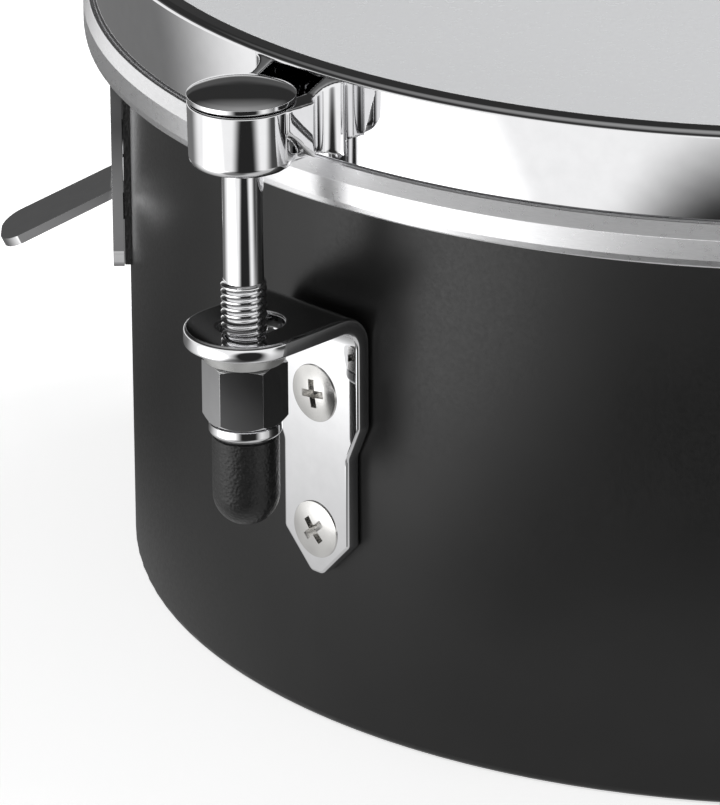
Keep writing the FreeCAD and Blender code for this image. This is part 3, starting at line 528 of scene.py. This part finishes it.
def make_head():
    """The film, its rounded collar and the hem under the flesh hoop's groove, in one skin."""
    inside = FILM_RADIUS - FILM_SKIN
    radii = [FILM_RING * step for step in range(10)]
    rings = [(radius, FILM_TOP) for radius in radii]
    under = [(radius, FILM_TOP - FILM_SKIN) for radius in reversed(radii)]
    show("head_look", lathe(rounded(rings + [
        (FILM_RADIUS, FILM_TOP, FILM_CORNER),
        (FILM_RADIUS, HEM_HEIGHT + FILM_SKIN),
        (HEM_RADIUS, HEM_HEIGHT + FILM_SKIN),
        (HEM_RADIUS, HEM_HEIGHT),
        (inside, HEM_HEIGHT),
        (inside, FILM_TOP - FILM_SKIN, FILM_CORNER - FILM_SKIN),
    ] + under, closed=False), closed=False), "head_film", "head_collar")


# --------------------------------------------------------- tension hardware

BOLT_HEAD_RADIUS = 9.45
BOLT_HEAD_LOW = 124.1
BOLT_DOME = 1.25
BOLT_SHANK = 3.55
BOLT_THREAD = 4.0
THREAD_TOP = 91.5
THREAD_PITCH = 1.25
BARREL_RADIUS = 9.4
BARREL_LOW = 112.4
BARREL_HIGH = 123.8
BARREL_BORE = 4.2
DRAFT = 0.022
EAR_CUT = 143.6


def make_bolts():
    low, high = reach("tension_bolt_1")
    dome = [
        (BOLT_HEAD_RADIUS * step / 16, high - BOLT_DOME * (step / 16) ** 3.0)
        for step in range(16)
    ]
    head = lathe(rounded(dome + [
        (BOLT_HEAD_RADIUS, high - BOLT_DOME - 0.1, 0.12),
        (BOLT_HEAD_RADIUS - 0.1, BOLT_HEAD_LOW, 0.3),
        (BOLT_SHANK, BOLT_HEAD_LOW),
        (BOLT_SHANK, THREAD_TOP - 0.4),
        (0, THREAD_TOP - 0.4),
    ], closed=False), closed=False, steps=96)
    screw = thread(BOLT_THREAD, 0.6, THREAD_PITCH, low, THREAD_TOP, BOLT_SHANK - 0.02)
    at_each_lug("tension_bolt", placed(joined(head, screw), shifted(BOLT_CIRCLE)), crease=40)


NUT_FLATS = 13.0
NUT_LOW = 64.8
NUT_CHAMFERS = ((5.9, 40), (6.6, 26))
NUT_TURN = 10
COLLAR_RADIUS = 6.45
NUT_BORE = 4.15


def prism(corner, low, high, sides=6):
    """Upright prism with a corner on the X axis."""
    work = bmesh.new()
    rings = [
        [work.verts.new(spot(corner, math.tau * k / sides, height)) for k in range(sides)]
        for height in (low, high)
    ]
    work.faces.new(reversed(rings[0]))
    work.faces.new(rings[1])
    for k in range(sides):
        ahead = (k + 1) % sides
        work.faces.new((rings[0][k], rings[0][ahead], rings[1][ahead], rings[1][k]))
    return finished(work)


def hex_nut(flats, low, high, chamfers, edge):
    """Hexagon turned to a chamfer at each end, given as radius and slope in degrees, its edges eased."""
    corner = flats / 2 / math.cos(math.radians(30))
    (foot, foot_slope), (top, top_slope) = chamfers
    rise = (corner + 0.3 - foot) * math.tan(math.radians(foot_slope))
    drop = (corner + 0.3 - top) * math.tan(math.radians(top_slope))
    turned = lathe([
        (0, low), (foot, low), (corner + 0.3, low + rise),
        (corner + 0.3, high - drop), (top, high), (0, high),
    ], closed=False, steps=96)
    nut = combined(prism(corner, low, high), turned, "INTERSECT")
    bore = lathe(
        [(0, low - 1), (NUT_BORE, low - 1), (NUT_BORE, high + 1), (0, high + 1)], closed=False, steps=48,
    )
    nut = combined(nut, bore, "DIFFERENCE")
    return evaluated(nut, ("BEVEL", {
        "width": edge * MM, "segments": 4, "limit_method": "ANGLE", "angle_limit": math.radians(18),
    }))


def make_nuts():
    low, high = reach("tension_nut_1")
    nut = hex_nut(NUT_FLATS, NUT_LOW, high, NUT_CHAMFERS, 0.42)
    collar = lathe(rounded([
        (NUT_BORE, low), (COLLAR_RADIUS - 0.7, low, 0.3), (COLLAR_RADIUS, low + 0.9, 0.7),
        (COLLAR_RADIUS - 0.05, NUT_LOW + 0.1), (NUT_BORE, NUT_LOW + 0.1),
    ]), steps=96)
    whole = joined(placed(nut, about_z(NUT_TURN)), collar)
    at_each_lug("tension_nut", placed(whole, shifted(BOLT_CIRCLE)), crease=25, even=True)


CAP_RADIUS = 5.9


def make_caps():
    low, high = reach("nut_cap_1")
    radius = CAP_RADIUS
    ball = [
        (radius * math.sin(math.radians(angle)), low + radius * (1 - math.cos(math.radians(angle))))
        for angle in range(0, 91, 6)
    ]
    skin = lathe(rounded(ball + [(radius, high, 0.35), (0, high)], closed=False), closed=False, steps=64)
    at_each_lug("nut_cap", placed(skin, shifted(BOLT_CIRCLE)))


WASHER_BORE = 4.4
WASHER_FOOT = 7.1
WASHER_RADIUS = 7.9


def make_thrust_washers():
    low, high = reach("thrust_washers")
    ring = lathe(rounded([
        (WASHER_BORE, low), (WASHER_FOOT, low, 0.3), (WASHER_RADIUS, high - 0.9, 0.5),
        (WASHER_RADIUS, high, 0.2), (WASHER_BORE, high),
    ]), steps=96)
    rings = [placed(ring, about_z(turn) @ shifted(BOLT_CIRCLE)) for turn in LUG_TURNS.values()]
    show("thrust_washers_look", joined(*rings), "thrust_washers")


SHEET = 3.0
BEND_RADIUS = 4.9
BRACKET_EDGE = 0.55
BRACKET_HALF = 10.6
LEG_HALF = 7.9
POINT_HALF = 1.4
LEG_LEVELS = {"point": 30.4, "taper": 37.3, "shoulder_low": 54.2, "shoulder_high": 60.4}
SLOT_HALF = 4.7
SLOT_INNER = 141.9
SCREW_HEIGHTS = (38.9, 64.9)
SCREW_HOLE = 2.65
SCREW_RADIUS = 5.3
SCREW_RISE = 0.75
SCREW_EDGE = 0.25
SCREW_SHANK = 2.5
SCREW_LENGTH = 10.4
SCREW_PITCH = 0.8
# How far the two screws that the photo shows are turned, by lug and by place on the bracket.
SEEN_TURNS = {(3, 0): 42, (3, 1): 8}


def ring_of(x, y, radius, steps=48, start=0, end=360):
    """Points on an arc, both ends included unless it is a full circle."""
    full = abs(end - start) == 360
    count = steps if full else steps + 1
    angles = [math.radians(start + (end - start) * step / steps) for step in range(count)]
    return [Vector((x + radius * math.cos(a), y + radius * math.sin(a))) for a in angles]


def make_brackets():
    """A blank cut flat, with x along the sheet from the point of the leg, then bent into the angle."""
    low, high = reach("lug_bracket_1")
    shell_face = outer("shell") + SHEET / 2
    leg = high - SHEET / 2 - BEND_RADIUS - low
    bend = BEND_RADIUS * math.pi / 2
    nose = leg + bend + BOLT_CIRCLE - (shell_face + BEND_RADIUS)
    slot_start = nose - (BOLT_CIRCLE - SLOT_INNER)
    levels = {name: height - low for name, height in LEG_LEVELS.items()}
    side = [
        (0, -POINT_HALF, 1.6),
        (levels["taper"], -LEG_HALF, 1.2),
        (levels["shoulder_low"], -LEG_HALF, 2.2),
        (levels["shoulder_high"], -BRACKET_HALF, 2.2),
    ]
    outline = rounded(
        side + [(p.x, p.y) for p in ring_of(nose, 0, BRACKET_HALF, 40, -90, 90)]
        + [(x, -y, radius) for x, y, radius in reversed(side)]
    )
    slot = ring_of(nose, 0, SLOT_HALF, 20, -90, 90) + ring_of(slot_start, 0, SLOT_HALF, 20, 90, 270)
    holes = [slot] + [ring_of(height - low, 0, SCREW_HOLE, 32) for height in SCREW_HEIGHTS]
    cuts = [leg - 2 + step * 0.6 for step in range(round((bend + 4) / 0.6))]
    blank = plate(outline, holes, SHEET, BRACKET_EDGE, cuts)
    for vertex in blank.vertices:
        along, side_place, depth = (value / MM for value in vertex.co)
        # depth > 0 is the outer face of the leg, which turns into the underside of the shelf
        if along <= leg:
            out, up = shell_face + depth, low + along
        elif along <= leg + bend:
            turn = (along - leg) / BEND_RADIUS
            out = shell_face + BEND_RADIUS - (BEND_RADIUS - depth) * math.cos(turn)
            up = low + leg + (BEND_RADIUS - depth) * math.sin(turn)
        else:
            out = shell_face + BEND_RADIUS + along - leg - bend
            up = low + leg + BEND_RADIUS - depth
        vertex.co = Vector((out, side_place, up)) * MM
    work = bmesh.new()
    work.from_mesh(blank)
    at_each_lug("lug_bracket", finished(work), crease=30)


def cross_cutter(top, depth, arm, wing):
    """Tapered cross, wide end up."""
    work = bmesh.new()
    loops = []
    for height, scale in ((top + 1, 1.05), (top, 1.0), (top - depth, 0.68)):
        a, b = arm * scale, wing * (0.4 + 0.6 * scale)
        arm_end = [(a, -b), (a, b), (b, b)]
        outline = arm_end + [(-y, x) for x, y in arm_end] + [(-x, -y) for x, y in arm_end]
        outline += [(y, -x) for x, y in arm_end]
        loops.append([work.verts.new((x * MM, y * MM, height * MM)) for x, y in outline])
    work.faces.new(loops[0])
    work.faces.new(reversed(loops[-1]))
    for upper, lower in zip(loops, loops[1:]):
        for index in range(len(upper)):
            ahead = (index + 1) % len(upper)
            work.faces.new((upper[index], lower[index], lower[ahead], upper[ahead]))
    return finished(work)


def domed_screw(radius, rise, edge, shank, length, pitch):
    """Low domed head with a cross recess on a threaded shank, whose seat is z = 0."""
    dome = [
        (radius * 0.95 * step / 8, rise - (rise - edge) * (step / 8) ** 2) for step in range(9)
    ]
    head = lathe(rounded(dome + [
        (radius, edge - 0.05, 0.15), (radius, 0), (shank + 1, -2.0), (0, -2.0),
    ], closed=False), closed=False, steps=72)
    head = combined(head, cross_cutter(rise, 2.1, radius * 0.5, radius * 0.13), "DIFFERENCE")
    return joined(head, thread(shank, 0.4, pitch, -length, -1.5, shank - 0.4, columns=24))


def make_bracket_screws():
    seat = outer("shell") + SHEET
    screw = domed_screw(SCREW_RADIUS, SCREW_RISE, SCREW_EDGE, SCREW_SHANK, SCREW_LENGTH, SCREW_PITCH)
    copies = []
    for number, turn in LUG_TURNS.items():
        for index, height in enumerate(SCREW_HEIGHTS):
            spin = SEEN_TURNS.get((number, index), 37 * number + 61 * index)
            copies.append(placed(screw, facing_out(turn, seat, height) @ about_z(spin)))
    show("bracket_screws_look", joined(*copies), "bracket_screws", crease=35)


def make_ears():
    """The casting: the CAD ear, blended as a cast part is, with a turned barrel set into it."""
    casting = finished(merged("hoop_ear_1"))
    casting.transform(about_z(-LUG_TURNS[1]))
    outer_half = block((EAR_CUT, -30, BARREL_LOW - 10), (EAR_CUT + 40, 30, BARREL_HIGH + 10))
    casting = combined(casting, outer_half, "DIFFERENCE")
    blended = evaluated(
        casting,
        ("REMESH", {"mode": "VOXEL", "voxel_size": 0.25 * MM, "adaptivity": 0.0}),
        ("SMOOTH", {"factor": 0.5, "iterations": 5}),
    )
    barrel = lathe(rounded([
        (BARREL_BORE, BARREL_LOW),
        (BARREL_RADIUS - DRAFT * (BARREL_HIGH - BARREL_LOW), BARREL_LOW, 1.8),
        (BARREL_RADIUS, BARREL_HIGH, 0.35),
        (BARREL_BORE, BARREL_HIGH),
    ]), steps=96)
    at_each_lug("hoop_ear", joined(blended, placed(barrel, shifted(BOLT_CIRCLE))), crease=60)


LEVER_PIVOT = Vector((-118.6, 0, 76.4))
LEVER_SLOPE = math.radians(26)
LEVER_ROOT = -122.0
LEVER_OUTSIDE = -129.0
LEVER_THINNER = 0.9
LEVER_DROP = 0.6
LEVER_TIP_X = -138.0
LEVER_TIP_SHIFT = Vector((-1.2, 0, -0.9)) * MM
LEVER_TIP_WIDER = 1.22


def press_lever(work):
    """The blade is a thinner sheet, dips a little as it leaves the plate, and widens towards its end."""
    upward = Vector((-math.sin(LEVER_SLOPE), 0, math.cos(LEVER_SLOPE)))
    outward = Vector((-math.cos(LEVER_SLOPE), 0, -math.sin(LEVER_SLOPE)))
    sliced(work, LEVER_ROOT, LEVER_OUTSIDE)
    for vertex in work.verts:
        from_pivot = vertex.co / MM - LEVER_PIVOT
        dip = min(max((LEVER_ROOT - vertex.co.x / MM) / (LEVER_ROOT - LEVER_OUTSIDE), 0), 1)
        if from_pivot.dot(outward) > 4.5 and from_pivot.dot(upward) > 0.5:
            vertex.co -= upward * LEVER_THINNER * MM
        vertex.co.z -= dip * LEVER_DROP * MM
        if vertex.co.x < LEVER_TIP_X * MM:
            vertex.co += LEVER_TIP_SHIFT
            vertex.co.y *= LEVER_TIP_WIDER


PLATE_FOOT = 60.0
PLATE_LONGER = 1.0
STRIP_FACES = (-125.7, -124.35)
STRIP_SIDE = 9.7
STRIP_HALF = 0.7
STRIP_SHORT = 0.6


def press_plate(work):
    """The plate's lower end reaches a little further down."""
    for vertex in work.verts:
        if vertex.co.z < PLATE_FOOT * MM:
            vertex.co.z -= PLATE_LONGER * MM


def darken_plate_gap(piece):
    """Strips in the dark cap rubber up each side of the plate's back close the gap to the shell and paint
    the shade in it.
    """
    low, high = reach("damper_plate")
    front, back = STRIP_FACES
    # dark strips: painted shade in the gap between the plate and the shell
    strips = [
        block((front, side - STRIP_HALF, low), (back, side + STRIP_HALF, high - STRIP_SHORT))
        for side in (-STRIP_SIDE, STRIP_SIDE)
    ]
    work = bmesh.new()
    work.from_mesh(piece.data)
    metal = len(work.faces)
    for strip in strips:
        work.from_mesh(strip)
    work.faces.ensure_lookup_table()
    for face in work.faces[metal:]:
        face.material_index = 1
    work.to_mesh(piece.data)
    work.free()
    piece.data.materials.append(MATERIALS["cap_rubber"])


PAD_CROWN = 0.2
PAD_SAG = 0.05
PAD_WAIST = 0.045
PAD_FIBRE = 0.16
PAD_SQUARENESS = 7
PAD_BELLY = 0.07
FIBRE_SCALE = 1400


def make_pad():
    """Pressed felt: crowned top, bulged edges, sides drawn in between the corners, flatter underside."""
    low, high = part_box("damper_pad")
    middle, half = (low + high) / 2, (high - low) / 2
    work = bmesh.new()
    bmesh.ops.create_cube(work, size=2.0)
    bmesh.ops.subdivide_edges(work, edges=work.edges, cuts=11, use_grid_fill=True)
    for vertex in work.verts:
        u, v, w = vertex.co
        span = (abs(u) ** PAD_SQUARENESS + abs(v) ** PAD_SQUARENESS) ** (1 / PAD_SQUARENESS)
        pull = max(abs(u), abs(v)) / span if span else 1
        belly = 1 - PAD_BELLY * w * w
        x = u * pull * belly * (1 - PAD_WAIST * (1 - v * v))
        y = v * pull * belly * (1 - PAD_WAIST * (1 - u * u))
        fall = PAD_CROWN if w > 0 else PAD_SAG
        z = w * (1 - fall * (1 - (1 - abs(u) ** 3) * (1 - abs(v) ** 3)))
        vertex.co = Vector((middle.x + half.x * x, middle.y + half.y * y, middle.z + half.z * z))
    mesh = evaluated(finished(work), ("SUBSURF", {"levels": 2, "render_levels": 2}))
    for vertex in mesh.vertices:
        tuft = noise.fractal(vertex.co * FIBRE_SCALE, 0.8, 2.0, 3)
        inward = 0.5 * (tuft - 1)
        vertex.co += vertex.normal * inward * PAD_FIBRE * MM
    piece = show("damper_pad_look", mesh, "damper_pad", crease=180)


# Width of the rounding on pieces whose CAD shape is otherwise kept.
EDGES = {
    "damper_plate": 0.7, "damper_lever": 0.75,
    "mount_bracket": 0.9, "clamp_wing_bolt": 0.7, "damper_frame": 0.3, "damper_arm": 0.2,
}
PRESSED = {"damper_lever": press_lever, "damper_plate": press_plate}

for node, piece in frame["nodes"].items():
    piece.data.materials.clear()
    piece.data.materials.append(MATERIALS[SLOTS[node]])

make_rim()
make_flesh_hoop()
make_head()
make_bolts()
make_nuts()
make_caps()
make_thrust_washers()
make_brackets()
make_bracket_screws()
make_ears()
make_pad()
for node in frame["nodes"]:
    if node in EDGES:
        softened(node, EDGES[node], reshape=PRESSED.get(node))
darken_plate_gap(bpy.data.objects["damper_plate_look"])


# ------------------------------------------------------------ stage and light

FLOOR_EMISSION = 0.7


def sheet(name, half, lift=0.0):
    """Level square of the stage, in metres."""
    mesh = bpy.data.meshes.new(name)
    corners = [(-half, -half, lift), (half, -half, lift), (half, half, lift), (-half, half, lift)]
    mesh.from_pydata(corners, [], [(0, 1, 2, 3)])
    square = bpy.data.objects.new(name, mesh)
    bpy.context.scene.collection.objects.link(square)
    return square


def stage_floor():
    floor = sheet("floor", 8.0)
    look = Look("floor", roughness=0.9, color=(0.9, 0.9, 0.9))
    look.tint(look.noise(look.place(), 3, 2), (0.9, 0.9, 0.9), (0.92, 0.92, 0.92))
    look.shader.inputs["Emission Color"].default_value = (1, 1, 1, 1)
    look.shader.inputs["Emission Strength"].default_value = FLOOR_EMISSION
    floor.data.materials.append(look.material)


def soft_light(name, place, aim, size, watts):
    data = bpy.data.lights.new(name, "AREA")
    data.shape = "RECTANGLE"
    data.size, data.size_y = size
    data.energy = watts
    lamp = bpy.data.objects.new(name, data)
    lamp.location = place
    lamp.rotation_euler = (Vector(aim) - Vector(place)).to_track_quat("-Z", "Y").to_euler()
    lamp.visible_glossy = False
    bpy.context.scene.collection.objects.link(lamp)


# Painted reflections: a glowing board, seen only in reflections, stands in for the room's dark and bright
# sides.
# Areas on the board that only reflections see, placed to give the plating the photo's reflections:
# centre and half sizes in metres, then brightness.
PAINTED_REFLECTION_AREAS = {
    "camera_side": ((-0.065, -0.33), (0.155, 0.17), 0.02),
    "left_rear": ((-0.22, 0.22), (0.35, 0.33), 0.18),
    "right_front": ((0.27, -0.18), (0.22, 0.16), 0.07),
    # bright glowing patch: painted highlight of a lamp in the plating
    "left_painted_glint": ((-0.31, -0.20), (0.16, 0.14), 2.3),
    "lever_side": ((-0.14, -0.20), (0.075, 0.08), 0.25),
    # darker patch round the drum: painted shadow of the drum on the floor, seen in reflections
    "under_drum_painted_shadow": ((0.0, 0.0), (0.28, 0.28), 0.5),
}
BOARD_HALF = 1.2
BOARD_LIFT = 0.0008
BOARD_LEVEL = 1.02


def painted_reflections():
    """Glowing board just over the floor that only reflections see: painted reflections, with darker and
    brighter patches for the room, a lamp's glint and the drum's shadow on the floor.
    """
    board = sheet("painted_reflections", BOARD_HALF, BOARD_LIFT)
    look = Look("painted_reflections", roughness=0.9, color=(0.0, 0.0, 0.0), Specular_IOR_Level=0.0)
    look.shader.inputs["Emission Color"].default_value = (1, 1, 1, 1)
    coordinate = look.node("ShaderNodeTexCoord")
    level = None
    for centre, halves, brightness in PAINTED_REFLECTION_AREAS.values():
        mapping = look.node("ShaderNodeMapping", vector_type="TEXTURE")
        mapping.inputs["Location"].default_value = (*centre, 0)
        mapping.inputs["Scale"].default_value = (*halves, 1)
        look.link(coordinate.outputs["Object"], mapping.inputs["Vector"])
        disc = look.node("ShaderNodeTexGradient", gradient_type="SPHERICAL")
        look.link(mapping.outputs["Vector"], disc.inputs["Vector"])
        fade = look.node("ShaderNodeMapRange", interpolation_type="SMOOTHSTEP")
        ends = {"From Min": 0.0, "From Max": 0.5, "To Min": 1.0, "To Max": brightness}
        for socket, number in ends.items():
            fade.inputs[socket].default_value = number
        look.link(disc.outputs["Fac"], fade.inputs["Value"])
        if level is None:
            level = fade.outputs["Result"]
        else:
            product = look.node("ShaderNodeMath", operation="MULTIPLY")
            look.link(level, product.inputs[0])
            look.link(fade.outputs["Result"], product.inputs[1])
            level = product.outputs["Value"]
    whole = look.node("ShaderNodeMath", operation="MULTIPLY")
    whole.inputs[1].default_value = BOARD_LEVEL
    look.link(level, whole.inputs[0])
    look.link(whole.outputs["Value"], look.shader.inputs["Emission Strength"])
    board.data.materials.append(look.material)
    board.visible_camera = False
    board.visible_diffuse = False
    board.visible_shadow = False
    board.visible_transmission = False


def world():
    place = bpy.data.worlds.new("room")
    place.use_nodes = True
    bpy.context.scene.world = place
    tree = place.node_tree
    background = tree.nodes["Background"]
    coordinate = tree.nodes.new("ShaderNodeTexCoord")
    split = tree.nodes.new("ShaderNodeSeparateXYZ")
    ramp = tree.nodes.new("ShaderNodeValToRGB")
    tree.links.new(coordinate.outputs["Generated"], split.inputs["Vector"])
    tree.links.new(split.outputs["Z"], ramp.inputs["Fac"])
    tree.links.new(ramp.outputs["Color"], background.inputs["Color"])
    stops = ramp.color_ramp.elements
    stops[0].position, stops[0].color = 0.0, (1, 1, 1, 1)
    stops[1].position, stops[1].color = 1.0, (0.35, 0.35, 0.35, 1)
    for at, grey in ((0.05, 0.9), (0.15, 0.09), (0.28, 0.09), (0.34, 0.03), (0.6, 0.03)):
        stop = stops.new(at)
        stop.color = (grey, grey, grey, 1)
    background.inputs["Strength"].default_value = 1.0


stage_floor()
world()
painted_reflections()
soft_light("key", (0.7, 0.35, 1.0), (0, 0, 0.06), (0.9, 0.9), 12.5)
soft_light("fill", (-1.3, -0.5, 1.5), (0, 0, 0.06), (1.2, 0.8), 7)

# -------------------------------------------------------------------- camera

CAMERA_PLACE = Vector((-89.9, -1142.1, 499.53)) * MM
CAMERA_LOOK = Vector((0.00642, 0.92356, -0.38340)).normalized()
CAMERA_ROLL = math.radians(-0.3189)
FOCAL_LENGTH = 290.68
SENSOR = 36.0


def camera():
    data = bpy.data.cameras.new("camera")
    data.lens = FOCAL_LENGTH
    data.sensor_width = SENSOR
    data.sensor_fit = "AUTO"
    data.clip_end = 100
    eye = bpy.data.objects.new("camera", data)
    bpy.context.scene.collection.objects.link(eye)
    level = CAMERA_LOOK.cross(Vector((0, 0, 1))).normalized()
    above = level.cross(CAMERA_LOOK)
    right = level * math.cos(CAMERA_ROLL) + above * math.sin(CAMERA_ROLL)
    up = above * math.cos(CAMERA_ROLL) - level * math.sin(CAMERA_ROLL)
    turn = Matrix((right, up, -CAMERA_LOOK)).transposed().to_4x4()
    turn.translation = CAMERA_PLACE
    eye.matrix_world = turn
    bpy.context.scene.camera = eye


camera()
bpy.context.scene.view_settings.view_transform = "Standard"
